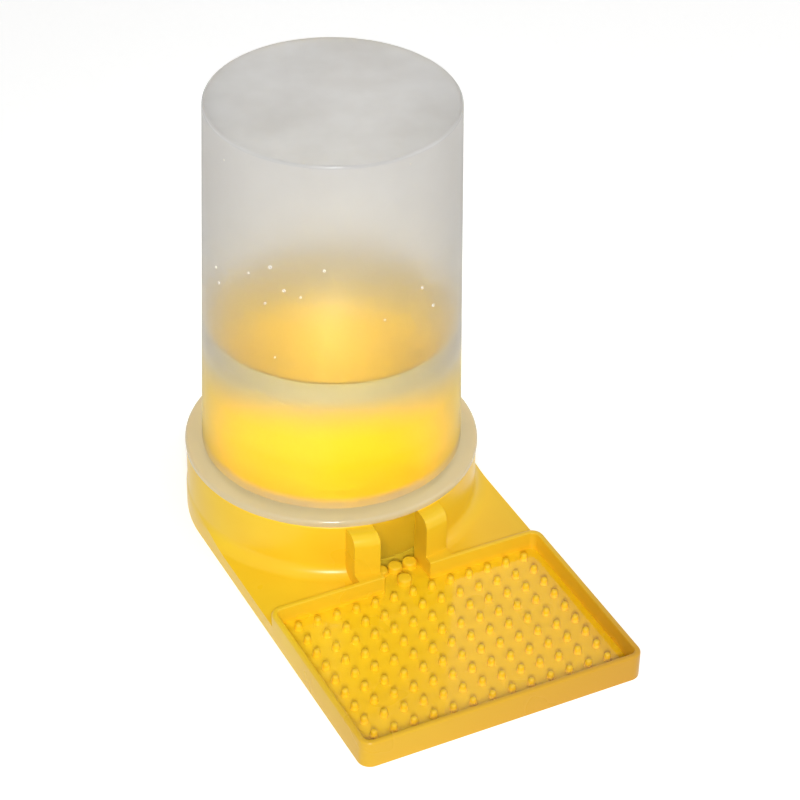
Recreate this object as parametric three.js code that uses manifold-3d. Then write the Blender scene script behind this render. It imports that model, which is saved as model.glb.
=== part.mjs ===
import * as THREE from 'three';
import { mergeVertices } from 'three/addons/utils/BufferGeometryUtils.js';
import Module from 'manifold-3d';

// Hive entrance feeder in millimetres, +Z up. The origin is on the bottle's axis, in the plane of the
// underside. The tray that goes into the hive points along -Y, and both sides of X = 0 are alike.

// Bottle, which stands upside down on its flange
const bottleFootRadius = 50.8;
const bottleTopRadius = 47.3;
const bottleBodyHeight = 148.2;
const bottleWall = 1.7;
const bottleTopThickness = 2;
const bottleTopRound = 1.2;
const flangeOverhang = 0.4;
const flangeEdgeHeight = 2.6;
const flangeRise = 1.3;
const flangeEdgeRound = 0.5;
const footFillet = 1;
const skirtFlare = 0.2;

// Cup that the bottle's skirt reaches into
const skirtClearance = 4;
const cupWall = 2.2;
const cupHeight = 28.6;
const cupRimRound = 0.8;
const cupFootFillet = 5.5;
const mouthGap = 3;
const seatGap = 0.3;

// Plate under the cup, with a low deck between cup and tray
const plateLedge = 0.4;
const plateWall = 2;
const floorThickness = 2;
const deckHeight = 6;
const deckThickness = 2;

// Tray, the tongue that goes into the hive
const trayHeight = 11.2;
const trayWall = 2.3;
const trayLength = 82;
const trayCornerRadius = 4.8;
const trayInnerCornerRadius = 2.5;
const trayRimRound = 0.9;
const trayBackGap = 8.4;

// Outlet from cup to tray, between two posts
const slotWidth = 19.5;
const postWidth = 9.75;
const postDepth = 7.65;
const postTopRound = 4.5;
const postTopDrop = 0.5;

// Studs that bees stand on, in square rows on the tray's floor
const studPitch = 8;
const studFootRadius = 1.6;
const studTipRadius = 1.25;
const studHeight = 4.1;
const studMargin = 4.8;

// Pegs that keep bees out of the cup
const pegRadius = 2.8;
const pegHeight = 4.1;
const pegsAcross = 3;
const pegRowPitch = 8.2;

// Syrup in the bottle, with its surface above the foot
const syrupDepth = 55.2;
const syrupClearance = 0.3;

// Facets
const roundSides = 72;
const pegSides = 16;
const studSides = 8;
const arcSteps = 3;
const cornerSteps = 5;

// How far a cut runs past what it cuts, and a joined piece into its neighbour
const overrun = 1;

// The grid that every corner is put on, so that faces meant to lie in one plane do
const cornerGrid = 0.0001;

// Derived sizes
const cupInnerRadius = bottleFootRadius + skirtClearance;
const cupRadius = cupInnerRadius + cupWall;
const cupMiddleRadius = (cupInnerRadius + cupRadius) / 2;
const plateHalfWidth = cupRadius + plateLedge;
const flangeRadius = cupRadius + flangeOverhang;
const trayBack = cupRadius + trayBackGap;
const trayFront = trayBack + trayLength;
const trayInnerBack = trayBack + trayWall;
const slotHalfWidth = slotWidth / 2;
const outletHalfWidth = slotHalfWidth + postWidth;
const outletInner = Math.sqrt(cupInnerRadius ** 2 - outletHalfWidth ** 2) - overrun;
const outletFront = cupRadius + pegRowPitch + pegRadius + overrun;
const postRadius = cupRadius + postDepth;
const postTop = cupHeight - postTopDrop;
const flangeUnderside = cupHeight + seatGap;
const flangeEdgeTop = flangeUnderside + flangeEdgeHeight;
const bottleFoot = flangeEdgeTop + flangeRise;
const bottleTop = bottleFoot + bottleBodyHeight;
const bottleMouth = floorThickness + mouthGap;
const bottleInnerFoot = bottleFootRadius - bottleWall;
const quarterTurn = Math.PI / 2;

const wasm = await Module();
wasm.setup();

// A closed three.js geometry as a solid: its seams are welded and its flat slivers are left out
function solidOf(geometry) {
  const bare = geometry.index ? geometry.toNonIndexed() : geometry.clone();
  bare.deleteAttribute('normal');
  bare.deleteAttribute('uv');
  const welded = mergeVertices(bare);
  const onGrid = (value) => Math.round(value / cornerGrid) * cornerGrid;
  const corners = Array.from(welded.index.array);
  const kept = [];
  for (let i = 0; i < corners.length; i += 3) {
    const [a, b, c] = corners.slice(i, i + 3);
    if (a !== b && b !== c && c !== a) kept.push(a, b, c);
  }
  const mesh = new wasm.Mesh({
    numProp: 3,
    vertProperties: Float32Array.from(welded.attributes.position.array, onGrid),
    triVerts: new Uint32Array(kept),
  });
  return new wasm.Manifold(mesh);
}

function meshOf(name, solid, material) {
  const { vertProperties, triVerts } = solid.getMesh();
  const geometry = new THREE.BufferGeometry();
  geometry.setAttribute('position', new THREE.BufferAttribute(vertProperties, 3));
  geometry.setIndex(new THREE.BufferAttribute(triVerts, 1));
  geometry.computeVertexNormals();
  const mesh = new THREE.Mesh(geometry, material);
  mesh.name = name;
  return mesh;
}

function block(xRange, yRange, zRange) {
  const spans = [xRange, yRange, zRange].map(([low, high]) => high - low);
  const centres = [xRange, yRange, zRange].map(([low, high]) => (low + high) / 2);
  return solidOf(new THREE.BoxGeometry(...spans).translate(...centres));
}

// A flat outline in X and Y, raised from z = low to z = high
function raised(shape, low, high) {
  const geometry = new THREE.ExtrudeGeometry(shape, {
    depth: high - low,
    bevelEnabled: false,
    curveSegments: cornerSteps,
  });
  return solidOf(geometry.translate(0, 0, low));
}

// A profile of [radius, z] points turned about the Z axis
function turned(profile) {
  const points = profile.map(([radius, z]) => new THREE.Vector2(radius, z));
  return solidOf(new THREE.LatheGeometry(points, roundSides).rotateX(quarterTurn));
}

// Points of an arc round a centre, from one angle to another
function arc([centreRadius, centreZ], radius, from, to) {
  const points = [];
  for (let i = 0; i <= arcSteps; i += 1) {
    const angle = from + ((to - from) * i) / arcSteps;
    points.push([centreRadius + radius * Math.cos(angle), centreZ + radius * Math.sin(angle)]);
  }
  return points;
}

function disc(radius, low, high) {
  return turned([[0, low], [radius, low], [radius, high], [0, high]]);
}

// The plate seen from above: straight sides, and round about the bottle's axis at the rear
function plateOutline(half, front) {
  const shape = new THREE.Shape();
  shape.moveTo(-half, front);
  shape.lineTo(half, front);
  shape.lineTo(half, 0);
  for (let i = 1; i <= roundSides / 2; i += 1) {
    const angle = (i * Math.PI * 2) / roundSides;
    shape.lineTo(half * Math.cos(angle), half * Math.sin(angle));
  }
  shape.closePath();
  return shape;
}

// The tray seen from above: a rectangle with round corners
function trayOutline(inset, radius) {
  const half = plateHalfWidth - inset;
  const near = -(trayFront - inset);
  const far = -(trayBack + inset);
  const shape = new THREE.Shape();
  shape.moveTo(-half + radius, near);
  shape.lineTo(half - radius, near);
  shape.absarc(half - radius, near + radius, radius, -quarterTurn, 0);
  shape.lineTo(half, far - radius);
  shape.absarc(half - radius, far - radius, radius, 0, quarterTurn);
  shape.lineTo(-half + radius, far);
  shape.absarc(-half + radius, far - radius, radius, quarterTurn, Math.PI);
  shape.lineTo(-half, near + radius);
  shape.absarc(-half + radius, near + radius, radius, Math.PI, Math.PI + quarterTurn);
  return shape;
}

// The tray's rear corners, square up to the deck, where the plate's sides run on into the tray's
function rearCorners(low, high) {
  const along = [-(trayBack + trayCornerRadius), -trayBack];
  return block([-plateHalfWidth, plateHalfWidth], along, [low, high]);
}

// The space from the cup's inside to the tray, where the sill and the posts stand
function outletSpace(low, high) {
  return block([-outletHalfWidth, outletHalfWidth], [-outletFront, -outletInner], [low, high]);
}

function trayFloor() {
  const slab = raised(trayOutline(0, trayCornerRadius), 0, floorThickness);
  const space = outletSpace(-overrun, floorThickness + overrun);
  const floor = slab.add(rearCorners(0, floorThickness)).subtract(space);
  return studs().reduce((whole, stud) => whole.add(stud), floor);
}

// The tray's four walls with their top edges rounded, open between the posts
function trayRim() {
  const rounded = new THREE.ExtrudeGeometry(trayOutline(0, trayCornerRadius), {
    depth: trayHeight - trayRimRound,
    bevelSize: trayRimRound,
    bevelOffset: -trayRimRound,
    bevelThickness: trayRimRound,
    bevelSegments: arcSteps,
    curveSegments: cornerSteps,
  });
  const sides = [-(plateHalfWidth + overrun), plateHalfWidth + overrun];
  const ends = [-(trayFront + overrun), 0];
  const under = block(sides, ends, [-(trayRimRound + overrun), floorThickness]);
  const heights = [floorThickness - overrun, trayHeight + overrun];
  const bowl = raised(trayOutline(trayWall, trayInnerCornerRadius), ...heights);
  const slotAlong = [-(trayInnerBack + overrun), -(trayBack - overrun)];
  const slot = block([-slotHalfWidth, slotHalfWidth], slotAlong, heights);
  const whole = solidOf(rounded).subtract(under).add(rearCorners(floorThickness, deckHeight));
  return whole.subtract(bowl).subtract(slot);
}

// The deck on its outer wall, open underneath between the cup and the tray, with the foot of the cup
function plate() {
  const pocketOutline = plateOutline(plateHalfWidth - plateWall, -(trayBack + overrun));
  const pocket = raised(pocketOutline, -overrun, deckHeight - deckThickness);
  const deck = raised(plateOutline(plateHalfWidth, -trayBack), 0, deckHeight).subtract(pocket);
  const cupSpace = disc(cupInnerRadius, floorThickness, deckHeight + overrun);
  const whole = deck.add(disc(cupRadius, 0, deckHeight)).subtract(cupSpace);
  return whole.subtract(outletSpace(-overrun, deckHeight + overrun));
}

// The cup's wall all round, from z = low up to its rounded rim
function cupRing(low) {
  const outerCentre = [cupRadius - cupRimRound, cupHeight - cupRimRound];
  const innerCentre = [cupInnerRadius + cupRimRound, cupHeight - cupRimRound];
  const bottom = [[cupInnerRadius, low], [cupRadius, low]];
  return turned([
    ...bottom,
    ...arc(outerCentre, cupRimRound, 0, quarterTurn),
    ...arc(innerCentre, cupRimRound, quarterTurn, Math.PI),
    bottom[0],
  ]);
}

// The fillet where the cup's wall runs into the deck, kept to the plate's outline
function cupFoot() {
  const reach = cupRadius + cupFootFillet;
  const centre = [reach, deckHeight + cupFootFillet];
  const curve = arc(centre, cupFootFillet, -quarterTurn, -Math.PI);
  const root = [cupMiddleRadius, deckHeight];
  const ring = turned([root, ...curve, [cupMiddleRadius, centre[1]], root]);
  const outline = plateOutline(plateHalfWidth, -trayBack);
  return ring.intersect(raised(outline, deckHeight - overrun, cupHeight));
}

function cupSide() {
  const space = outletSpace(deckHeight - overrun, cupHeight + overrun);
  return cupRing(deckHeight).add(cupFoot()).subtract(space);
}

// One post, side -1 on the left and 1 on the right: a slice of the cup's wall and of a ring before it
// with a rounded top, on a cheek that runs to the tray
function post(side) {
  const across = [side * slotHalfWidth, side * outletHalfWidth].sort((a, b) => a - b);
  const crown = arc([postRadius - postTopRound, postTop - postTopRound], postTopRound, 0, quarterTurn);
  const root = [[cupMiddleRadius, floorThickness], [postRadius, floorThickness]];
  const ring = turned([...root, ...crown, [cupMiddleRadius, postTop], root[0]]);
  const heights = [floorThickness - overrun, cupHeight + overrun];
  const slice = block(across, [-(postRadius + overrun), 0], heights);
  const cheek = block(across, [-trayBack, -cupRadius], [floorThickness, trayHeight]);
  return ring.add(cupRing(floorThickness)).intersect(slice).add(cheek);
}

function studs() {
  const height = studHeight + floorThickness / 2;
  const stud = new THREE.CylinderGeometry(studTipRadius, studFootRadius, height, studSides);
  stud.rotateX(quarterTurn).translate(0, 0, floorThickness / 2 + height / 2);
  const columns = Math.floor((plateHalfWidth - trayWall - studMargin) / studPitch);
  const rows = Math.floor((trayLength - 2 * (trayWall + studMargin)) / studPitch);
  const firstRow = -(trayInnerBack + studMargin);
  const field = [];
  for (let row = 0; row <= rows; row += 1) {
    for (let column = -columns; column <= columns; column += 1) {
      const place = [column * studPitch, firstRow - row * studPitch, 0];
      field.push(solidOf(stud.clone().translate(...place)));
    }
  }
  return field;
}

// A row of pegs across the slot in the cup's wall, and one peg before it in the tray's back wall
function pegs() {
  const height = pegHeight + floorThickness / 2;
  const peg = new THREE.CylinderGeometry(pegRadius, pegRadius, height, pegSides);
  peg.rotateX(quarterTurn).translate(0, 0, floorThickness / 2 + height / 2);
  const gap = (slotWidth - pegsAcross * 2 * pegRadius) / (pegsAcross + 1);
  const pitch = 2 * pegRadius + gap;
  const places = [[0, -(cupRadius + pegRowPitch)]];
  for (let i = 0; i < pegsAcross; i += 1) {
    places.push([(i - (pegsAcross - 1) / 2) * pitch, -cupRadius]);
  }
  return places.map(([x, y]) => solidOf(peg.clone().translate(x, y, 0)));
}

function outletSill() {
  return pegs().reduce((whole, peg) => whole.add(peg), outletSpace(0, floorThickness));
}

// The yellow moulding divided at flat faces, where its solids touch
function baseSolids() {
  return {
    tray_floor: trayFloor(),
    tray_rim: trayRim(),
    plate: plate(),
    cup_wall: cupSide(),
    outlet_sill: outletSill(),
    left_post: post(-1),
    right_post: post(1),
  };
}

// The bottle's inner radius at a height above its foot, on its drafted wall
function bottleInnerRadiusAt(z) {
  const slope = (bottleTopRadius - bottleFootRadius) / bottleBodyHeight;
  return bottleInnerFoot + slope * (z - bottleFoot);
}

// The skirt below the flange, open at both ends
function skirt() {
  const mouthRadius = bottleFootRadius + skirtFlare;
  const mouthEdge = [mouthRadius - bottleWall, bottleMouth];
  return turned([
    mouthEdge,
    [mouthRadius, bottleMouth],
    [bottleFootRadius, flangeUnderside],
    [bottleInnerFoot, flangeUnderside],
    mouthEdge,
  ]);
}

// The ring that rests over the cup's rim, with its upper side sloped up to the bottle's foot
function flange() {
  const edgeCentre = [flangeRadius - flangeEdgeRound, flangeEdgeTop - flangeEdgeRound];
  const innerEdge = [bottleInnerFoot, flangeUnderside];
  return turned([
    innerEdge,
    [flangeRadius, flangeUnderside],
    ...arc(edgeCentre, flangeEdgeRound, 0, quarterTurn),
    [bottleFootRadius + footFillet, bottleFoot],
    [bottleInnerFoot, bottleFoot],
    innerEdge,
  ]);
}

// The drafted wall and the closed end above the flange
function reservoir() {
  const ceiling = bottleTop - bottleTopThickness;
  const footCentre = [bottleFootRadius + footFillet, bottleFoot + footFillet];
  const topCentre = [bottleTopRadius - bottleTopRound, bottleTop - bottleTopRound];
  return turned([
    [0, ceiling],
    [bottleInnerRadiusAt(ceiling), ceiling],
    [bottleInnerFoot, bottleFoot],
    ...arc(footCentre, footFillet, -quarterTurn, -Math.PI),
    ...arc(topCentre, bottleTopRound, 0, quarterTurn),
    [0, bottleTop],
  ]);
}

// The charge in the bottle, from its foot to the surface
function syrup() {
  const surface = bottleFoot + syrupDepth;
  return turned([
    [0, bottleFoot],
    [bottleInnerFoot - syrupClearance, bottleFoot],
    [bottleInnerRadiusAt(surface) - syrupClearance, surface],
    [0, surface],
  ]);
}

const yellowPlastic = new THREE.MeshStandardMaterial({ color: '#f9c623', roughness: 0.32, metalness: 0 });
const milkyPlastic = new THREE.MeshStandardMaterial({
  color: '#d6d3cc',
  roughness: 0.3,
  metalness: 0,
  transparent: true,
  opacity: 0.45,
});
const syrupLiquid = new THREE.MeshStandardMaterial({ color: '#e9c84a', roughness: 0.08, metalness: 0 });

const feeder = new THREE.Group();
for (const [name, solid] of Object.entries(baseSolids())) feeder.add(meshOf(name, solid, yellowPlastic));
feeder.add(
  meshOf('skirt', skirt(), milkyPlastic),
  meshOf('flange', flange(), milkyPlastic),
  meshOf('reservoir', reservoir(), milkyPlastic),
  meshOf('syrup', syrup(), syrupLiquid),
);

export default feeder;
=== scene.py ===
import math

import bmesh
import bpy
from mathutils import Matrix, Vector


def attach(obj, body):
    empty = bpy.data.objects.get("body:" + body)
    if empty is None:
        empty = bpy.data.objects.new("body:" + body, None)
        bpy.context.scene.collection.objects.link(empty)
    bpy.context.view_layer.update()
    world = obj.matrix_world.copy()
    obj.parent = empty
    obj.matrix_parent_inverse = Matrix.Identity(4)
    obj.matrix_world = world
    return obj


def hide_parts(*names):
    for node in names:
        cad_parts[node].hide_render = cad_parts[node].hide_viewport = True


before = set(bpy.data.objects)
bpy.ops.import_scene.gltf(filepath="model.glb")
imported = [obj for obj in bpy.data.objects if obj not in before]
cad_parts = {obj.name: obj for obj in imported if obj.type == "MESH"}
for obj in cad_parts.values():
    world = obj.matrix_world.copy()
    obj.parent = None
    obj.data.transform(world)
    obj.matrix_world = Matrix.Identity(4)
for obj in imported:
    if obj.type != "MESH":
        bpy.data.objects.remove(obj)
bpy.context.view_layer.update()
print("frame loaded:", len(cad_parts), "nodes")

# Sizes are written in millimetres and turned to metres where a mesh is made.
millimetre = 0.001
weld = 0.001 * millimetre   # points closer together than this are one
near = 0.02                 # mm within which a point counts as lying on a circle or at a height
step = 0.01                 # mm kept between faces that would otherwise lie in one plane
overlap = 1                 # mm that a joined part reaches into its neighbour
beyond = 100                # mm, past whatever a cutting block has to clear
allowance = 0.1             # mm by which a face may miss a limit and still be counted in
noiseLow, noiseHigh = 0.3, 0.7   # a noise texture stays mostly between these


def hexColour(code):
    # an sRGB hex colour as linear RGBA
    levels = [int(code[start:start + 2], 16) / 255 for start in (1, 3, 5)]
    return [level / 12.92 if level <= 0.04045 else ((level + 0.055) / 1.055) ** 2.4
            for level in levels] + [1]


def addNode(tree, kind, values=None, **settings):
    # a shader node with its settings; a value that is a socket is linked, any other is typed in
    made = tree.nodes.new("ShaderNode" + kind)
    for name, value in settings.items():
        setattr(made, name, value)
    for name, value in (values or {}).items():
        if isinstance(value, bpy.types.NodeSocket):
            tree.links.new(value, made.inputs[name])
        else:
            made.inputs[name].default_value = value
    return made


def newMaterial(name):
    material = bpy.data.materials.new(name)
    material.use_nodes = True
    material.node_tree.nodes.clear()
    return material, material.node_tree


def setRamp(node, stops):
    # the stops of a colour ramp, as (position, hex colour or grey level)
    ramp = node.color_ramp
    while len(ramp.elements) > 1:
        ramp.elements.remove(ramp.elements[-1])
    for index, (position, colour) in enumerate(stops):
        element = ramp.elements[0] if index == 0 else ramp.elements.new(position)
        element.position = position
        element.color = hexColour(colour) if isinstance(colour, str) else [colour] * 3 + [1]


def selectLoop(bm, radius, height):
    # the edges of the circle at a radius and height, in mm
    def onLoop(vert):
        reach = math.hypot(vert.co.x, vert.co.y) / millimetre
        return abs(reach - radius) < near and abs(vert.co.z / millimetre - height) < near
    return [edge for edge in bm.edges if all(onLoop(vert) for vert in edge.verts)]


def edgesAtHeight(bm, height):
    # the level edges at a height, in mm
    def atHeight(vert):
        return abs(vert.co.z / millimetre - height) < near
    return [edge for edge in bm.edges if all(atHeight(vert) for vert in edge.verts)]


def uprightEdges(bm):
    return [edge for edge in bm.edges if abs(edge.verts[0].co.z - edge.verts[1].co.z) > millimetre]


def isWall(face):
    # steeper than 60 degrees
    return abs(face.normal.z) < 0.5


def roundEdges(bm, edges, offset, segments):
    bmesh.ops.bevel(bm, geom=edges, offset=offset * millimetre, offset_type="OFFSET", segments=segments,
                    profile=0.5, affect="EDGES", material=-1, clamp_overlap=True)


def turnProfile(points, steps, closed=False):
    # an outline of (radius, height) in mm turned once round the Z axis
    bm = bmesh.new()
    verts = [bm.verts.new((radius * millimetre, 0, height * millimetre)) for radius, height in points]
    pairs = list(zip(verts, verts[1:])) + ([(verts[-1], verts[0])] if closed else [])
    edges = [bm.edges.new(pair) for pair in pairs]
    bmesh.ops.spin(bm, geom=verts + edges, cent=(0, 0, 0), axis=(0, 0, 1), angle=math.tau, steps=steps,
                   use_merge=True)
    bmesh.ops.remove_doubles(bm, verts=bm.verts, dist=weld)
    bmesh.ops.recalc_face_normals(bm, faces=bm.faces)
    return bm


def makeBlock(low, high):
    # a box between two corners, in mm
    bm = bmesh.new()
    bmesh.ops.create_cube(bm, size=1)
    span = [(end - start) * millimetre for start, end in zip(low, high)]
    centre = [(start + end) / 2 * millimetre for start, end in zip(low, high)]
    bmesh.ops.scale(bm, vec=span, verts=bm.verts)
    bmesh.ops.translate(bm, vec=centre, verts=bm.verts)
    return bm


def makePlateOutline(half, front, low, high, segments):
    # straight sides, round about the bottle's axis at the rear, raised from low to high
    bm = bmesh.new()
    bmesh.ops.create_circle(bm, cap_ends=False, radius=half * millimetre, segments=segments)
    frontHalf = [vert for vert in bm.verts if vert.co.y < -near * millimetre]
    bmesh.ops.delete(bm, geom=frontHalf, context="VERTS")
    ends = sorted((vert for vert in bm.verts if len(vert.link_edges) == 1), key=lambda vert: vert.co.x)
    corners = [bm.verts.new((side * half * millimetre, front * millimetre, 0)) for side in (-1, 1)]
    for pair in ((ends[0], corners[0]), corners, (corners[1], ends[1])):
        bm.edges.new(pair)
    bmesh.ops.contextual_create(bm, geom=bm.edges[:])
    bmesh.ops.translate(bm, vec=(0, 0, low * millimetre), verts=bm.verts)
    raised = bmesh.ops.extrude_face_region(bm, geom=bm.faces[:])["geom"]
    top = [item for item in raised if isinstance(item, bmesh.types.BMVert)]
    bmesh.ops.translate(bm, vec=(0, 0, (high - low) * millimetre), verts=top)
    # the extrusion leaves its first face out, so the open loop gets its face back
    openLoop = [edge for edge in bm.edges if edge.is_boundary]
    if openLoop:
        bmesh.ops.contextual_create(bm, geom=openLoop)
    bmesh.ops.recalc_face_normals(bm, faces=bm.faces)
    return bm


def toObject(name, bm):
    mesh = bpy.data.meshes.new(name)
    bm.to_mesh(mesh)
    bm.free()
    made = bpy.data.objects.new(name, mesh)
    bpy.context.scene.collection.objects.link(made)
    return made


def takeMesh(part):
    # the mesh of a part that is only needed to be joined to another
    bm = bmesh.new()
    bm.from_mesh(part.data)
    bpy.data.objects.remove(part)
    return bm


def combine(piece, bm, operation):
    # joins, cuts or intersects a piece with another closed mesh
    tool = toObject("tool", bm)
    modifier = piece.modifiers.new("combine", "BOOLEAN")
    modifier.object = tool
    modifier.operation = operation
    modifier.solver = "MANIFOLD"
    bpy.context.view_layer.update()
    result = bpy.data.meshes.new_from_object(piece.evaluated_get(bpy.context.evaluated_depsgraph_get()))
    piece.modifiers.clear()
    piece.data = result
    bpy.data.objects.remove(tool)


def splitAt(piece, y):
    # divides the faces that cross a plane of equal y, in mm, so that each side can have its own finish
    bm = bmesh.new()
    bm.from_mesh(piece.data)
    bmesh.ops.bisect_plane(bm, geom=bm.verts[:] + bm.edges[:] + bm.faces[:],
                           plane_co=(0, y * millimetre, 0), plane_no=(0, 1, 0), dist=weld)
    bm.to_mesh(piece.data)
    bm.free()


def finishPiece(piece, body, materials, sharpAngle=35):
    # clearing the slots that a join leaves empty also clears the faces' choice, so that is put back
    chosen = [polygon.material_index for polygon in piece.data.polygons]
    piece.data.materials.clear()
    for material in materials:
        piece.data.materials.append(material)
    piece.data.polygons.foreach_set("material_index", chosen)
    for polygon in piece.data.polygons:
        polygon.use_smooth = True
    piece.data.set_sharp_from_angle(angle=math.radians(sharpAngle))
    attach(piece, body)
    return piece


def rampByHeight(tree, place, tallest, stops):
    # a colour ramp that runs up the Z axis, with stops of (height in mm, hex colour or grey level)
    height = addNode(tree, "SeparateXYZ", {"Vector": place}).outputs["Z"]
    level = addNode(tree, "MapRange", {"Value": height, "From Min": 0, "From Max": tallest * millimetre})
    ramp = addNode(tree, "ValToRGB", {"Fac": level.outputs["Result"]})
    setRamp(ramp, [(z / tallest, value) for z, value in stops])
    return ramp.outputs["Color"]


def addMilk(tree, colour, frontShare):
    # a cloudy body that throws part of the light back and lets the rest through, scattered
    frontLit = addNode(tree, "BsdfDiffuse", {"Color": hexColour(colour)})
    backLit = addNode(tree, "BsdfTranslucent", {"Color": hexColour(colour)})
    milk = addNode(tree, "MixShader", {0: frontShare, 1: backLit.outputs["BSDF"],
                                       2: frontLit.outputs["BSDF"]})
    return milk.outputs["Shader"]


def passLamps(tree, shader, colour):
    # lamps reach what lies behind a clear material, which takes little of their light away
    through = addNode(tree, "BsdfTransparent", {"Color": hexColour(colour)})
    path = addNode(tree, "LightPath")
    surface = addNode(tree, "MixShader", {0: path.outputs["Is Shadow Ray"], 1: shader,
                                          2: through.outputs["BSDF"]})
    addNode(tree, "OutputMaterial", {"Surface": surface.outputs["Shader"]})


yellowLook = {
    "smoothest": 0.24,        # roughness, which varies a little over the surface
    "roughest": 0.33,
    "ior": 1.49,
    "specular": 0.36,
    "cloudScale": 28,         # mm across one cloud of uneven pigment
    "grainScale": 0.9,        # mm across the mould's texture; the real one is too fine to show
    "grainDepth": 0.01,       # mm
    "grainStrength": 0.35,
    "paintedShadeWay": (0.45, -0.89, 0),   # painted shade: the yellow gets duller toward the tongue's far corner, where less light falls
    "paintedShadeFrom": 45,           # mm along that way
    "paintedShadeTo": 157,
}
# The same plastic in five places. colour and shadeColour are the ends of the pigment's unevenness, and the
# third colour is a painted shade that they turn to in the far corner, where less light falls. The studs
# keep nearly their bright yellow there, with little of that painted shade; the tray's floor is darker as
# painted shade too.
yellowFinishes = {
    "dry": {"name": "yellow moulded polypropylene",
            "colour": "#fbd22a", "shadeColour": "#f7ca26", "paintedShadeColour": "#d39c24"},
    # studs: nearly none of the painted shade toward the far corner, so they stay as bright as the lamps
    # make them
    "studs": {"name": "yellow moulded polypropylene, polished on the studs",
              "colour": "#fbd22a", "shadeColour": "#f7ca26", "paintedShadeColour": "#f2c32c"},
    "cup": {"name": "yellow moulded polypropylene, wet inside the cup",
            "colour": "#f2da27", "shadeColour": "#eed720", "paintedShadeColour": "#cca60c"},
    # the tray's floor: wet, and darker overall as painted shade
    "tray": {"name": "yellow moulded polypropylene, wet and darker in the tray",
             "colour": "#e0c124", "shadeColour": "#dabb1e", "paintedShadeColour": "#cca60c"},
    "cupFloor": {"name": "yellow moulded polypropylene, shaded at the foot of the cup",
                 "colour": "#d4b833", "shadeColour": "#ccb02c", "paintedShadeColour": "#cca60c"},
}


def makeYellowPlastic(finish):
    # Injection-moulded polypropylene: an even, strong yellow with a satin gloss and pale reflections
    # at grazing angles. Where syrup wets it, it looks deeper and a little greener.
    look = yellowLook
    material, tree = newMaterial(finish["name"])
    place = addNode(tree, "TexCoord").outputs["Object"]
    cloud = addNode(tree, "TexNoise", {"Vector": place, "Scale": 1 / (look["cloudScale"] * millimetre),
                                       "Detail": 2})
    colour = addNode(tree, "ValToRGB", {"Fac": cloud.outputs["Fac"]})
    setRamp(colour, [(noiseLow, finish["shadeColour"]), (noiseHigh, finish["colour"])])
    # painted shade: toward the tongue's far corner the yellow turns to the third colour, where less light
    # falls
    along = addNode(tree, "VectorMath", {0: place, 1: look["paintedShadeWay"]}, operation="DOT_PRODUCT")
    paintedShadeLevel = addNode(tree, "MapRange", {"Value": along.outputs["Value"],
                                      "From Min": look["paintedShadeFrom"] * millimetre,
                                      "From Max": look["paintedShadeTo"] * millimetre})
    withPaintedShade = addNode(tree, "MixRGB", {"Fac": paintedShadeLevel.outputs["Result"], "Color1": colour.outputs["Color"],
                                    "Color2": hexColour(finish["paintedShadeColour"])})
    grain = addNode(tree, "TexNoise", {"Vector": place, "Scale": 1 / (look["grainScale"] * millimetre),
                                       "Detail": 3})
    gloss = addNode(tree, "MapRange", {"Value": cloud.outputs["Fac"], "To Min": look["smoothest"],
                                       "To Max": look["roughest"]})
    relief = addNode(tree, "Bump", {"Height": grain.outputs["Fac"], "Strength": look["grainStrength"],
                                    "Distance": look["grainDepth"] * millimetre})
    shader = addNode(tree, "BsdfPrincipled", {"Base Color": withPaintedShade.outputs["Color"], "IOR": look["ior"],
                                              "Specular IOR Level": look["specular"],
                                              "Roughness": gloss.outputs["Result"],
                                              "Normal": relief.outputs["Normal"]})
    addNode(tree, "OutputMaterial", {"Surface": shader.outputs["BSDF"]})
    return material


yellows = {part: makeYellowPlastic(finish) for part, finish in yellowFinishes.items()}

milkyLook = {
    "ior": 1.3,               # under the plastic's 1.49: the real wall mirrors little of a white room
    "blur": 0.36,             # roughness inside: what lies well behind blurs, what touches stays sharp
    "cloudScale": 24,         # mm across one cloud in the wall
    "rippleScale": 2.4,       # mm across the fine unevenness of the mould
    "rippleDepth": 0.02,      # mm
    "rippleStrength": 0.3,
    "tallest": 200,           # mm of height that the stops are spread over
    "glossIor": 1.49,
    "glossRoughness": 0.14,   # of the skin that the polished mould left
    "lampColour": "#ffffff",  # what it leaves of a lamp's light
}
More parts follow.
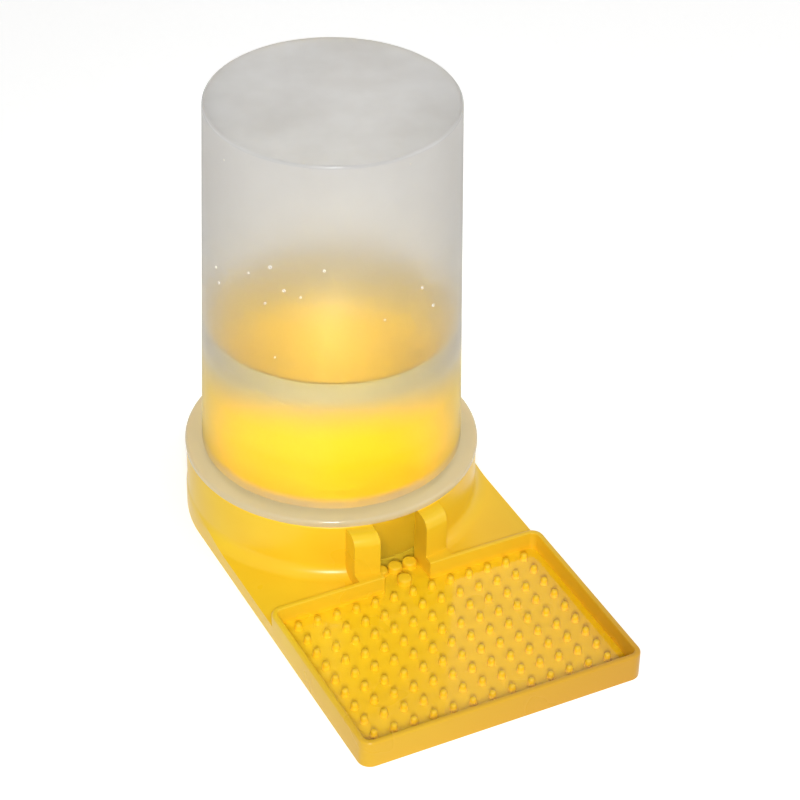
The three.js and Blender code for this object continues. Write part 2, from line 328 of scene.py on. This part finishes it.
# The stops are (height in mm, value). A tint is the colour that light takes on in the skin; low down it is
# yellow, a painted glow of the yellow syrup and cup, and just over the liquid's line a little warm, a
# painted glow of the syrup; grey at the line of the liquid and above it. A haze is the share that the milk
# scatters, most of it at the thick foot, at the liquid's edge and near the closed end.
bottleSkins = {
    "outer skin": {
        # the yellow low down and the warm stop just over the liquid are a painted glow of the syrup and the
        # cup
        "tintsAndPaintedGlow": [(0, "#f8dc3c"), (52, "#f8dc44"), (64, "#f7de66"), (70, "#f0dc98"), (78, "#dcd8d2"),
                  (84, "#d2d1d2"), (92, "#dfd7c5"), (125, "#d9d8d6"), (181, "#dcdcdc")],
        "hazes": [(0, 0.02), (29, 0.02), (32, 0.5), (35, 0.5), (38, 0.03), (78, 0.03), (82, 0.3),
                  (87, 0.3), (90, 0.04), (115, 0.06), (145, 0.35), (181, 0.35)],
        "milkColour": "#d9d5cf", "frontShare": 0.5, "unevenness": 0.25, "specular": 0.05, "gloss": 0,
    },
    "inner skin": {
        "tintsAndPaintedGlow": [(0, "#fefefe")], "hazes": [(0, 0)],
        "milkColour": "#f2efe8", "frontShare": 0.5, "unevenness": 0.25, "specular": 0.02, "gloss": 0,
    },
    "flange": {
        "tintsAndPaintedGlow": [(0, "#efe6cf")], "hazes": [(0, 0.8)],
        "milkColour": "#e9dcb6", "frontShare": 0.7, "unevenness": 0.08, "specular": 0.15, "gloss": 1,
    },
    "closed end": {
        "tintsAndPaintedGlow": [(0, "#dedfe0")], "hazes": [(0, 0.3)],
        "milkColour": "#cecbc6", "frontShare": 0.6, "unevenness": 0.6, "specular": 0.15, "gloss": 0,
    },
    "rounded edge": {
        "tintsAndPaintedGlow": [(0, "#dedfe0")], "hazes": [(0, 0.3)],
        "milkColour": "#d0cecb", "frontShare": 0.6, "unevenness": 0.25, "specular": 0.15, "gloss": 1,
    },
}


def makeMilkyPlastic(name, skin):
    # Natural polypropylene, injection-moulded without pigment: clear but milky, so that white shows
    # through as a light grey and anything far behind is blurred
    look = milkyLook
    material, tree = newMaterial(name)
    place = addNode(tree, "TexCoord").outputs["Object"]
    tintAndPaintedGlow = rampByHeight(tree, place, look["tallest"], skin["tintsAndPaintedGlow"])
    haze = rampByHeight(tree, place, look["tallest"], skin["hazes"])
    cloud = addNode(tree, "TexNoise", {"Vector": place, "Scale": 1 / (look["cloudScale"] * millimetre),
                                       "Detail": 3})
    uneven = addNode(tree, "MapRange", {"Value": cloud.outputs["Fac"],
                                        "From Min": noiseLow, "From Max": noiseHigh,
                                        "To Min": 1 - skin["unevenness"], "To Max": 1 + skin["unevenness"]})
    milkShare = addNode(tree, "Math", {0: haze, 1: uneven.outputs["Result"]}, operation="MULTIPLY",
                        use_clamp=True)
    ripple = addNode(tree, "TexNoise", {"Vector": place, "Scale": 1 / (look["rippleScale"] * millimetre),
                                        "Detail": 2})
    relief = addNode(tree, "Bump", {"Height": ripple.outputs["Fac"], "Strength": look["rippleStrength"],
                                    "Distance": look["rippleDepth"] * millimetre})
    clear = addNode(tree, "BsdfPrincipled", {"Base Color": tintAndPaintedGlow, "IOR": look["ior"],
                                             "Roughness": look["blur"], "Transmission Weight": 1,
                                             "Specular IOR Level": skin["specular"],
                                             "Normal": relief.outputs["Normal"]})
    body = addNode(tree, "MixShader", {0: milkShare.outputs["Value"], 1: clear.outputs["BSDF"],
                                       2: addMilk(tree, skin["milkColour"], skin["frontShare"])})
    # a thin gloss over it all, from outside only: rounded edges catch the lamp
    shine = addNode(tree, "BsdfGlossy", {"Roughness": look["glossRoughness"]})
    edge = addNode(tree, "Fresnel", {"IOR": look["glossIor"]})
    outside = addNode(tree, "Math", {0: 1, 1: addNode(tree, "NewGeometry").outputs["Backfacing"]},
                      operation="SUBTRACT")
    outsideEdge = addNode(tree, "Math", {0: edge.outputs["Fac"], 1: outside.outputs["Value"]},
                          operation="MULTIPLY")
    shineShare = addNode(tree, "Math", {0: outsideEdge.outputs["Value"], 1: skin["gloss"]},
                         operation="MULTIPLY")
    glossy = addNode(tree, "MixShader", {0: shineShare.outputs["Value"], 1: body.outputs["Shader"],
                                         2: shine.outputs["BSDF"]})
    passLamps(tree, glossy.outputs["Shader"], look["lampColour"])
    return material


skins = [makeMilkyPlastic("natural polypropylene, " + part, skin) for part, skin in bottleSkins.items()]

syrupLook = {
    "ior": 1.42,
    "roughness": 0.07,        # blurs what lies behind, as the milky wall before it does
    "colour": "#fcf4bc",
    "wallColour": "#fdfae4",
    "veilColour": "#cfc8ba",
    "veilFrontShare": 0.5,
    "wallVeils": [(0, 0.03), (33, 0.04), (37, 0.68), (100, 0.6)],
    "tallest": 100,           # mm of height that the stops are spread over
    "lampColour": "#fffcf0",  # what it leaves of a lamp's light
}


def makeSyrup(name, colour, veils):
    # Thin sugar syrup: clear and strongly refracting, so that the yellow cup glows through it.
    # Light that it mirrors back from the side crosses the milky wall twice, which lays a grey veil
    # over it; the veils are stops of (height in mm, share).
    look = syrupLook
    material, tree = newMaterial(name)
    liquid = addNode(tree, "BsdfPrincipled", {"Base Color": hexColour(colour), "IOR": look["ior"],
                                              "Roughness": look["roughness"], "Transmission Weight": 1})
    place = addNode(tree, "TexCoord").outputs["Object"]
    veil = rampByHeight(tree, place, look["tallest"], veils)
    inside = addNode(tree, "NewGeometry").outputs["Backfacing"]
    share = addNode(tree, "Math", {0: veil, 1: inside}, operation="MULTIPLY")
    body = addNode(tree, "MixShader", {0: share.outputs["Value"], 1: liquid.outputs["BSDF"],
                                       2: addMilk(tree, look["veilColour"], look["veilFrontShare"])})
    passLamps(tree, body.outputs["Shader"], look["lampColour"])
    return material


clearSyrup = makeSyrup("clear sugar syrup", syrupLook["colour"], [(0, 0)])
walledSyrup = makeSyrup("clear sugar syrup against the milky wall", syrupLook["wallColour"],
                        syrupLook["wallVeils"])
print("materials made")

baseSizes = {
    "halfWidth": 57.4, "trayBack": 65.4, "trayLength": 82, "trayHeight": 11.2, "trayWall": 2.3,
    "cornerRadius": 4.8, "rimRound": 0.9, "innerRimRound": 0.5,
    "floor": 2, "deckHeight": 6, "deckThickness": 2, "plateWall": 2,
    "cupRadius": 57, "cupWall": 2.2, "cupHeight": 28.6, "cupRimRound": 0.8,
    "footFillet": 5.5, "footMargin": 0.5,
    "slotHalf": 9.75, "outletHalf": 19.5, "postRadius": 64.65, "postTop": 28.1, "postTopRound": 4.5,
    "cheekReach": 1.1, "cheekFoot": 0.5,   # the walls beside the outlet start inside the tray's wall
    "roundSteps": 160,
}


def trayRimEdges(bm, outer):
    # the edges along the top of the tray's wall, on its outer or its inner side
    sizes = baseSizes
    middle = Vector((0, -(sizes["trayBack"] + sizes["trayLength"] / 2) * millimetre, 0))
    bm.normal_update()
    found = []
    for edge in edgesAtHeight(bm, sizes["trayHeight"]):
        walls = [face for face in edge.link_faces if isWall(face)]
        if len(walls) == 1:
            outward = walls[0].normal.dot(walls[0].calc_center_median() - middle) > 0
            if outward == outer:
                found.append(edge)
    return found


def makeTray():
    sizes = baseSizes
    bm = makeBlock((-sizes["halfWidth"], -(sizes["trayBack"] + sizes["trayLength"]), 0),
                   (sizes["halfWidth"], -sizes["trayBack"], sizes["trayHeight"]))
    roundEdges(bm, uprightEdges(bm), sizes["cornerRadius"], segments=8)
    top = max(bm.faces, key=lambda face: face.calc_center_median().z)
    bmesh.ops.inset_region(bm, faces=[top], thickness=sizes["trayWall"] * millimetre, use_even_offset=True)
    sunk = bmesh.ops.extrude_face_region(bm, geom=[top])["geom"]
    floor = [item for item in sunk if isinstance(item, bmesh.types.BMVert)]
    bmesh.ops.delete(bm, geom=[top], context="FACES_ONLY")
    bmesh.ops.translate(bm, vec=(0, 0, (sizes["floor"] - sizes["trayHeight"]) * millimetre), verts=floor)
    roundEdges(bm, trayRimEdges(bm, outer=True), sizes["rimRound"], segments=4)
    roundEdges(bm, trayRimEdges(bm, outer=False), sizes["innerRimRound"], segments=3)
    return bm


def makeDeck():
    # the low plate between cup and tray, hollow below, with room for the tray's inside and the cup
    sizes = baseSizes
    half, trayBack, trayWall = sizes["halfWidth"], sizes["trayBack"], sizes["trayWall"]
    deck = toObject("deck", makePlateOutline(half - step, -(trayBack + sizes["cornerRadius"]), 0,
                                             sizes["deckHeight"], sizes["roundSteps"]))
    pocket = makePlateOutline(half - sizes["plateWall"], -(trayBack + trayWall / 2), -overlap,
                              sizes["deckHeight"] - sizes["deckThickness"], sizes["roundSteps"])
    trayInside = makeBlock((-half + trayWall, -beyond, sizes["floor"] - overlap),
                           (half - trayWall, -(trayBack + trayWall) + step, beyond))
    holeRadius = sizes["cupRadius"] - overlap
    hole = turnProfile([(0, -overlap), (holeRadius, -overlap), (holeRadius, beyond), (0, beyond)],
                       sizes["roundSteps"])
    for cutter in (pocket, trayInside, hole):
        combine(deck, cutter, "DIFFERENCE")
    return takeMesh(deck)


def makeFootFillet():
    # the ring that carries the fillet from the deck up the cup's wall
    sizes = baseSizes
    low = sizes["deckHeight"] - step
    inside = sizes["cupRadius"] - overlap
    wall = sizes["cupRadius"] - step
    outside = sizes["cupRadius"] + sizes["footFillet"] + sizes["footMargin"]
    high = sizes["deckHeight"] + sizes["footFillet"] + sizes["footMargin"]
    ring = turnProfile([(inside, low - overlap), (outside, low - overlap), (outside, low), (wall, low),
                        (wall, high), (inside, high)], sizes["roundSteps"], closed=True)
    roundEdges(ring, selectLoop(ring, wall, low), sizes["footFillet"], segments=8)
    foot = toObject("foot", ring)
    combine(foot, makePlateOutline(sizes["halfWidth"] - 2 * step, -(sizes["trayBack"] - step), 0, beyond,
                                   sizes["roundSteps"]), "INTERSECT")
    return takeMesh(foot)


def makeCup():
    sizes = baseSizes
    outer, height = sizes["cupRadius"], sizes["cupHeight"]
    inner = outer - sizes["cupWall"]
    bm = turnProfile([(0, 0), (outer, 0), (outer, height), (inner, height), (inner, sizes["floor"]),
                      (0, sizes["floor"])], sizes["roundSteps"])
    for radius in (outer, inner):
        roundEdges(bm, selectLoop(bm, radius, height), sizes["cupRimRound"], segments=4)
    return bm


def makePost(left, right):
    # a piece of a ring round the cup, with its outer edge rounded over
    sizes = baseSizes
    inside = sizes["cupRadius"] - overlap
    low = sizes["floor"] - overlap
    ring = turnProfile([(inside, low), (sizes["postRadius"], low), (sizes["postRadius"], sizes["postTop"]),
                        (inside, sizes["postTop"])], sizes["roundSteps"], closed=True)
    outerEdge = selectLoop(ring, sizes["postRadius"], sizes["postTop"])
    roundEdges(ring, outerEdge, sizes["postTopRound"], segments=8)
    post = toObject("post", ring)
    combine(post, makeBlock((left, -beyond, 0), (right, 0, beyond)), "INTERSECT")
    return takeMesh(post)


def makeOutlet():
    # the floor of the outlet and the walls beside it, between cup and tray
    sizes = baseSizes
    sill = makeBlock((-sizes["outletHalf"] + step, -(sizes["trayBack"] + overlap), step),
                     (sizes["outletHalf"] - step, -(sizes["cupRadius"] - 2 * overlap),
                      sizes["floor"] - step))
    middle = (sizes["outletHalf"] + sizes["slotHalf"]) / 2
    half = (sizes["outletHalf"] - sizes["slotHalf"] - step) / 2
    front = -(sizes["trayBack"] + sizes["cheekReach"])
    cheeks = [makeBlock((side * middle - half, front, sizes["cheekFoot"]),
                        (side * middle + half, -(sizes["cupRadius"] + overlap), sizes["trayHeight"] - step))
              for side in (-1, 1)]
    return [sill] + cheeks


def chooseBaseFinishes(base, parts):
    # the cup's inside and the floors are wet and look deeper than the dry plastic; the floors of the cup
    # and the tray are also darker, as painted shade
    sizes = baseSizes
    inside = sizes["cupRadius"] - sizes["cupWall"] + allowance
    for polygon in base.data.polygons:
        corners = [base.data.vertices[index].co for index in polygon.vertices]
        reach = max(math.hypot(corner.x, corner.y) for corner in corners) / millimetre
        height = polygon.center.z / millimetre
        facesUp = polygon.normal.z > 0.9
        onFloor = facesUp and abs(height - sizes["floor"]) < near
        if reach < inside and height > sizes["floor"] - allowance:
            part = "cupFloor" if onFloor else "cup"
        else:
            part = "tray" if onFloor else "dry"
        polygon.material_index = parts.index(part)


def makeBase():
    # one moulding: tray, deck, cup, outlet and posts
    sizes = baseSizes
    base = toObject("baseMoulding", makeTray())
    for part in (makeDeck(), makeFootFillet(), makeCup()):
        combine(base, part, "UNION")
    slot = makeBlock((-sizes["slotHalf"] + step, -(sizes["trayBack"] + sizes["trayWall"] + overlap),
                      sizes["floor"]),
                     (sizes["slotHalf"] - step, -(sizes["cupRadius"] - 2 * sizes["cupWall"]), beyond))
    combine(base, slot, "DIFFERENCE")
    for part in makeOutlet():
        combine(base, part, "UNION")
    inner, outer = sizes["slotHalf"], sizes["outletHalf"]
    for left, right in ((-outer, -inner), (inner, outer)):
        combine(base, makePost(left, right), "UNION")
    splitAt(base, -(sizes["cupRadius"] - sizes["cupWall"] / 2))
    parts = ["dry", "cup", "tray", "cupFloor"]
    chooseBaseFinishes(base, parts)
    finishPiece(base, "base", [yellows[part] for part in parts])
    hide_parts("tray_floor", "tray_rim", "plate", "cup_wall", "outlet_sill", "left_post",
                "right_post")
    return base


base = makeBase()
print("base moulding:", len(base.data.polygons), "faces")

studSizes = {
    "footRadius": 1.65, "tipRadius": 1.2, "height": 6.1, "tipRound": 0.55,
    "segments": 12, "roundSegments": 2,
    "root": 1,                # mm over the ground where it starts, inside the floor's thickness
    "pitch": 8, "firstRow": -72.5, "rows": 9,
    "columns": 6,             # on each side of the middle one
}
pegSizes = {
    "footRadius": 2.8, "tipRadius": 2.8, "height": 6.1, "tipRound": 0.7,
    "segments": 40, "roundSegments": 4,
    "root": 1,
    "places": [(-6.275, -57), (0, -57), (6.275, -57), (0, -65.2)],
}


def makePins(name, places, sizes, sharpAngle):
    # upright round pins that stand on the base
    footRadius = sizes["footRadius"] * millimetre
    tipRadius = sizes["tipRadius"] * millimetre
    length = (sizes["height"] - sizes["root"]) * millimetre
    bm = bmesh.new()
    for x, y in places:
        middle = Vector((x, y, (sizes["height"] + sizes["root"]) / 2)) * millimetre
        bmesh.ops.create_cone(bm, cap_ends=True, cap_tris=False, segments=sizes["segments"],
                              radius1=footRadius, radius2=tipRadius, depth=length,
                              matrix=Matrix.Translation(middle))
    roundEdges(bm, edgesAtHeight(bm, sizes["height"]), sizes["tipRound"], sizes["roundSegments"])
    finishPiece(toObject(name, bm), "base", [yellows["studs"]], sharpAngle)


studPlaces = [(column * studSizes["pitch"], studSizes["firstRow"] - row * studSizes["pitch"])
              for row in range(studSizes["rows"])
              for column in range(-studSizes["columns"], studSizes["columns"] + 1)]
makePins("studField", studPlaces, studSizes, sharpAngle=60)
makePins("guardPegs", pegSizes["places"], pegSizes, sharpAngle=50)
print("studs and pegs made")

bottleSizes = {
    "mouth": 5, "mouthRadius": 51, "wall": 1.7, "footRadius": 50.8, "foot": 32.8,
    "flangeRadius": 57.4, "flangeLow": 28.9, "flangeEdge": 31.5,
    "top": 181, "topRadius": 47.3, "topThickness": 2,
    "footFillet": 1, "wallStart": 0.1,   # the fillet ends this much over the foot
    "flangeRound": 1.1, "flangeUnderRound": 0.3, "topRound": 1.2, "innerTopRound": 1, "mouthRound": 0.4,
    "steps": 192,
}


def wallSlope():
    # the draft that lets the bottle leave its mould
    sizes = bottleSizes
    return (sizes["topRadius"] - sizes["footRadius"]) / (sizes["top"] - sizes["foot"])


def chooseSkin(centre):
    # the skin of a face of the bottle, from the place of its middle
    sizes = bottleSizes
    reach = math.hypot(centre.x, centre.y) / millimetre
    height = centre.z / millimetre
    wallMiddle = sizes["footRadius"] - sizes["wall"] / 2 + wallSlope() * (height - sizes["foot"])
    atFlange = sizes["flangeLow"] - allowance < height < sizes["foot"] + 2 * allowance
    if atFlange and reach > sizes["footRadius"] - allowance:
        return "flange"
    if reach < wallMiddle and height < sizes["top"] - sizes["topThickness"] / 2:
        return "inner skin"
    if height > sizes["top"] - 2 * allowance:
        return "closed end"
    if height > sizes["top"] - sizes["topRound"] and reach > sizes["topRadius"] - sizes["topRound"]:
        return "rounded edge"
    return "outer skin"


def makeBottle():
    sizes = bottleSizes
    ceiling = sizes["top"] - sizes["topThickness"]
    innerTop = sizes["topRadius"] - sizes["wall"] - wallSlope() * sizes["topThickness"]
    bm = turnProfile([
        (0, ceiling), (innerTop, ceiling), (sizes["footRadius"] - sizes["wall"], sizes["foot"]),
        (sizes["mouthRadius"] - sizes["wall"], sizes["mouth"]), (sizes["mouthRadius"], sizes["mouth"]),
        (sizes["footRadius"], sizes["flangeLow"]), (sizes["flangeRadius"], sizes["flangeLow"]),
        (sizes["flangeRadius"], sizes["flangeEdge"]),
        (sizes["footRadius"] + sizes["footFillet"], sizes["foot"]),
        (sizes["footRadius"], sizes["foot"] + sizes["wallStart"]),
        (sizes["topRadius"], sizes["top"]), (0, sizes["top"]),
    ], sizes["steps"])
    for radius, height, offset, segments in (
            (sizes["flangeRadius"], sizes["flangeEdge"], sizes["flangeRound"], 5),
            (sizes["flangeRadius"], sizes["flangeLow"], sizes["flangeUnderRound"], 3),
            (sizes["topRadius"], sizes["top"], sizes["topRound"], 6),
            (innerTop, ceiling, sizes["innerTopRound"], 4),
            (sizes["mouthRadius"], sizes["mouth"], sizes["mouthRound"], 2)):
        roundEdges(bm, selectLoop(bm, radius, height), offset, segments)
    parts = list(bottleSkins)
    for face in bm.faces:
        face.material_index = parts.index(chooseSkin(face.calc_center_median()))
    bottle = finishPiece(toObject("bottleShell", bm), "bottle", skins)
    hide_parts("skirt", "flange", "reservoir")


poolSizes = {
    "level": 5.1,             # the bottle's mouth, where air gets in and the level holds
    "wetting": 0.05,          # how far the liquid's skin lies inside the plastic that it wets
    "neckReach": 3,           # how far the outlet's liquid is carried on into the cup's
}


def makeSyrupPool():
    # the syrup that has run out of the mouth and stands in the cup, the outlet and the tray
    sizes = baseSizes
    wet = poolSizes["wetting"]
    low = sizes["floor"] - wet
    high = poolSizes["level"]
    inner = sizes["cupRadius"] - sizes["cupWall"] + wet
    pool = toObject("syrupPool", turnProfile([(0, low), (inner, low), (inner, high), (0, high)],
                                             sizes["roundSteps"]))
    outletBack = -(sizes["trayBack"] + sizes["trayWall"])
    neck = makeBlock((-sizes["slotHalf"] - wet, outletBack - overlap, low),
                     (sizes["slotHalf"] + wet, poolSizes["neckReach"] - inner, high))
    combine(pool, neck, "UNION")
    side = sizes["halfWidth"] - sizes["trayWall"] + wet
    front = -(sizes["trayBack"] + sizes["trayLength"] - sizes["trayWall"]) - wet
    tray = makeBlock((-side, front, low), (side, outletBack + wet, high))
    roundEdges(tray, uprightEdges(tray), sizes["cornerRadius"] - sizes["trayWall"], segments=6)
    combine(pool, tray, "UNION")
    finishPiece(pool, "base", [clearSyrup])


syrupSizes = {
    "radius": 48.9, "low": 4.9, "foot": 32.8, "surface": 88,
    "draft": -0.02362,        # mm of radius for each mm up, as the bottle's wall
    "meniscus": 1.3, "meniscusWidth": 2.2,
    "climb": [(0, 1), (0.25, 0.35), (0.6, 0.08), (1, 0)],   # shares of that width and that height
    "steps": 192,
}


def makeSyrupBody():
    # the charge from the bottle's mouth up to a surface that climbs a little at the wall
    sizes = syrupSizes
    edge = sizes["radius"] + sizes["draft"] * (sizes["surface"] - sizes["foot"])
    meniscus = [(edge - sizes["meniscusWidth"] * across, sizes["surface"] + sizes["meniscus"] * up)
                for across, up in sizes["climb"]]
    side = [(0, sizes["low"]), (sizes["radius"], sizes["low"]), (sizes["radius"], sizes["foot"])]
    bm = turnProfile(side + meniscus + [(0, sizes["surface"])], sizes["steps"])
    for face in bm.faces:
        if isWall(face):
            face.material_index = 1   # the side, against the bottle's wall
    syrup = finishPiece(toObject("syrupBody", bm), "bottle", [clearSyrup, walledSyrup])
    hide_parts("syrup")


# white flecks on the bottle's wall, whose white is painted glints
glintFleckLook = {
    "colour": "#f3f0ea", "shadeColour": "#dcd6cb", "roughness": 0.35,
    "grainScale": 0.3,        # mm across one grain
    "grainDepth": 0.05,       # mm
    "grainStrength": 0.5,
}
glintFleckSizes = {
    "height": 0.22,           # mm that a fleck stands out from the wall
    "crownShare": 0.8,        # of the radius, at that height
    "rimShare": 0.35,         # of the radius, from the crown's edge to its hollow
    "hollowShare": 0.7,       # of the height, down to the hollow
    "segments": 14,
    # angle round the bottle in degrees, height and radius in mm
    "places": [(-176.1, 123.9, 0.5), (-173.5, 118.3, 0.7), (-153.9, 130.7, 0.5), (-142.8, 136.5, 0.85),
               (-136.3, 128.0, 0.7), (-128.9, 126.4, 0.45), (-145.2, 120.5, 0.5), (-118.9, 138.4, 0.65),
               (-73.3, 123.4, 0.55), (-66.3, 113.0, 0.65), (-92.4, 115.2, 0.4), (-140.4, 98.3, 0.35),
               (-169.4, 171.8, 0.4), (-80.4, 177.2, 0.35)],
}


def makeGlintWhite():
    # White flecks on the wall, painted glints: a thin grainy crust, white and a little glossy
    look = glintFleckLook
    material, tree = newMaterial("white flecks, painted glints")
    place = addNode(tree, "TexCoord").outputs["Object"]
    grain = addNode(tree, "TexNoise", {"Vector": place, "Scale": 1 / (look["grainScale"] * millimetre),
                                       "Detail": 2})
    colour = addNode(tree, "ValToRGB", {"Fac": grain.outputs["Fac"]})
    setRamp(colour, [(noiseLow, look["shadeColour"]), (noiseHigh, look["colour"])])
    relief = addNode(tree, "Bump", {"Height": grain.outputs["Fac"], "Strength": look["grainStrength"],
                                    "Distance": look["grainDepth"] * millimetre})
    shader = addNode(tree, "BsdfPrincipled", {"Base Color": colour.outputs["Color"],
                                              "Roughness": look["roughness"],
                                              "Normal": relief.outputs["Normal"]})
    addNode(tree, "OutputMaterial", {"Surface": shader.outputs["BSDF"]})
    return material


def makeGlintFlecks():
    # small white flecks on the wall, painted glints, each thicker round its edge than in its middle
    sizes = glintFleckSizes
    slope = wallSlope()
    bm = bmesh.new()
    for angle, height, radius in sizes["places"]:
        turn = math.radians(angle)
        outward = Vector((math.cos(turn), math.sin(turn), -slope)).normalized()
        wall = bottleSizes["footRadius"] + slope * (height - bottleSizes["foot"])
        place = Vector((wall * math.cos(turn), wall * math.sin(turn), height)) * millimetre
        matrix = Matrix.Translation(place) @ outward.to_track_quat("Z", "Y").to_matrix().to_4x4()
        made = bmesh.ops.create_cone(bm, cap_ends=True, cap_tris=False, segments=sizes["segments"],
                                     radius1=radius * millimetre,
                                     radius2=radius * sizes["crownShare"] * millimetre,
                                     depth=sizes["height"] * 2 * millimetre, matrix=matrix)
        faces = {face for vert in made["verts"] for face in vert.link_faces}
        crown = max(faces, key=lambda face: face.calc_center_median().dot(outward))
        bmesh.ops.inset_region(bm, faces=[crown], thickness=radius * sizes["rimShare"] * millimetre)
        bmesh.ops.translate(bm, vec=outward * -sizes["hollowShare"] * sizes["height"] * millimetre,
                            verts=crown.verts[:])
    bmesh.ops.recalc_face_normals(bm, faces=bm.faces)
    finishPiece(toObject("glintFlecks", bm), "bottle", [makeGlintWhite()], sharpAngle=60)


makeBottle()
makeSyrupPool()
makeSyrupBody()
makeGlintFlecks()
print("bottle and syrup made")

roomLook = {
    "floorColour": "#f4f4f3", "floorHalf": 6,   # m
    "floorGlow": 0.42,        # so that the floor looks white where it is seen, and lights no more
    "white": "#ffffff",
    "worldStrength": 0.36,    # of the light that falls on the object; the sky that is seen is white
}


def seenShare(tree):
    # 1 on whatever is seen, by itself, in a mirror or through something clear
    path = addNode(tree, "LightPath")
    plain = addNode(tree, "Math", {0: path.outputs["Is Camera Ray"], 1: path.outputs["Is Glossy Ray"]},
                    operation="MAXIMUM")
    seen = addNode(tree, "Math", {0: plain.outputs["Value"], 1: path.outputs["Is Transmission Ray"]},
                   operation="MAXIMUM")
    return seen.outputs["Value"]


def makeFloor():
    # Matt white paper: plain white, with only a soft shade under the object
    material, tree = newMaterial("white studio floor")
    paper = addNode(tree, "BsdfDiffuse", {"Color": hexColour(roomLook["floorColour"])})
    glowShare = addNode(tree, "Math", {0: seenShare(tree), 1: roomLook["floorGlow"]}, operation="MULTIPLY")
    glow = addNode(tree, "Emission", {"Color": hexColour(roomLook["white"]),
                                      "Strength": glowShare.outputs["Value"]})
    both = addNode(tree, "AddShader", {0: paper.outputs["BSDF"], 1: glow.outputs["Emission"]})
    addNode(tree, "OutputMaterial", {"Surface": both.outputs["Shader"]})
    bm = bmesh.new()
    bmesh.ops.create_grid(bm, x_segments=4, y_segments=4, size=roomLook["floorHalf"])
    floor = toObject("floor", bm)
    floor.data.materials.append(material)


def makeWorld():
    world = bpy.data.worlds.new("studio")
    bpy.context.scene.world = world
    world.use_nodes = True
    tree = world.node_tree
    tree.nodes.clear()
    strength = addNode(tree, "MapRange", {"Value": seenShare(tree), "To Min": roomLook["worldStrength"],
                                          "To Max": 1})
    sky = addNode(tree, "Background", {"Color": hexColour(roomLook["white"]),
                                       "Strength": strength.outputs["Result"]})
    addNode(tree, "OutputWorld", {"Surface": sky.outputs["Background"]})


lampLooks = {
    "key": {"place": (-0.54, -1.14, 1.0), "target": (0, -0.03, 0.05), "size": 0.3, "power": 15},
    # a column of syrup gathers light on the cup's floor, which the renderer leaves out
    "gathered light": {"place": (-0.27, -0.56, 0.78), "target": (0.014, 0.026, 0.002), "power": 50,
                       "angle": 3.8, "blend": 1, "softness": 0.01, "colour": (1, 0.97, 0.4)},
    "fill": {"place": (0.9, -0.5, 0.9), "target": (0, -0.03, 0.05), "size": 0.8, "power": 2},
}


def makeLamp(name, look):
    # a spot lamp where the values give an angle, otherwise a round area lamp
    isSpot = "angle" in look
    light = bpy.data.lights.new(name, "SPOT" if isSpot else "AREA")
    light.energy = look["power"]
    lamp = bpy.data.objects.new(name, light)
    if isSpot:
        light.spot_size = math.radians(look["angle"])
        light.spot_blend = look["blend"]
        light.shadow_soft_size = look["softness"]
        light.color = look["colour"]
        lamp.visible_glossy = False
    else:
        light.shape = "DISK"
        light.size = look["size"]
    lamp.location = look["place"]
    lamp.rotation_euler = (Vector(look["target"]) - lamp.location).to_track_quat("-Z", "Y").to_euler()
    lamp.visible_transmission = False   # seen through the bottle, a lamp would be a white streak
    bpy.context.scene.collection.objects.link(lamp)


# found from the edges, circles and stud rows of the photograph; metres and radians
cameraFit = {
    "place": (-0.3640, -0.7617, 0.6612), "yaw": 0.4774, "pitch": 0.6289, "roll": 0.0227,
    "lens": 120.46, "sensorWidth": 36,   # mm
}


def makeCamera():
    yaw, pitch, roll = cameraFit["yaw"], cameraFit["pitch"], cameraFit["roll"]
    ahead = Vector((math.sin(yaw) * math.cos(pitch), math.cos(yaw) * math.cos(pitch), -math.sin(pitch)))
    level = Vector((math.cos(yaw), -math.sin(yaw), 0))
    upright = level.cross(ahead)
    right = level * math.cos(roll) + upright * math.sin(roll)
    up = -level * math.sin(roll) + upright * math.cos(roll)
    camera = bpy.data.objects.new("camera", bpy.data.cameras.new("camera"))
    camera.data.lens = cameraFit["lens"]
    camera.data.sensor_width = cameraFit["sensorWidth"]
    axes = Matrix((right, up, -ahead)).transposed()
    camera.matrix_world = Matrix.Translation(cameraFit["place"]) @ axes.to_4x4()
    bpy.context.scene.collection.objects.link(camera)
    bpy.context.scene.camera = camera


makeFloor()
makeWorld()
for name, look in lampLooks.items():
    makeLamp(name, look)
makeCamera()
bpy.context.scene.view_settings.view_transform = "Standard"
print("floor, lamps and camera placed")
